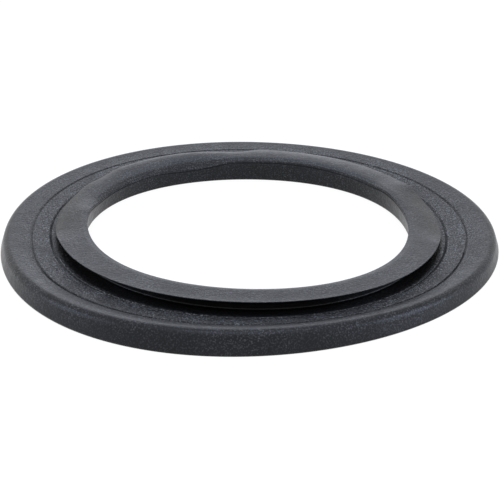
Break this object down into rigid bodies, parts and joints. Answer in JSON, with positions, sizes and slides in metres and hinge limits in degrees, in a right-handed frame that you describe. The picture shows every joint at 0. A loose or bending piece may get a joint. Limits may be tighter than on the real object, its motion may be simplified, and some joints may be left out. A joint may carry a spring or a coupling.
{
  "type": "overflow seal",
  "caption": "Moulded rubber ring seal with a flat flange, an undercut neck and an overhanging collar lip round a wide bore.",
  "frame": {"origin": "on the ring's axis, in the plane of the flange's flat underside", "axes": "+Z along the ring's axis, from the flange's underside to the collar's top; +X and +Y in the underside's plane"},
  "size_m": [0.072, 0.072, 0.004],
  "materials": {
    "rubber": "matt moulded"
  },
  "bodies": {
    "root": {"seal_ring": "rubber"}
  },
  "joints": []
}
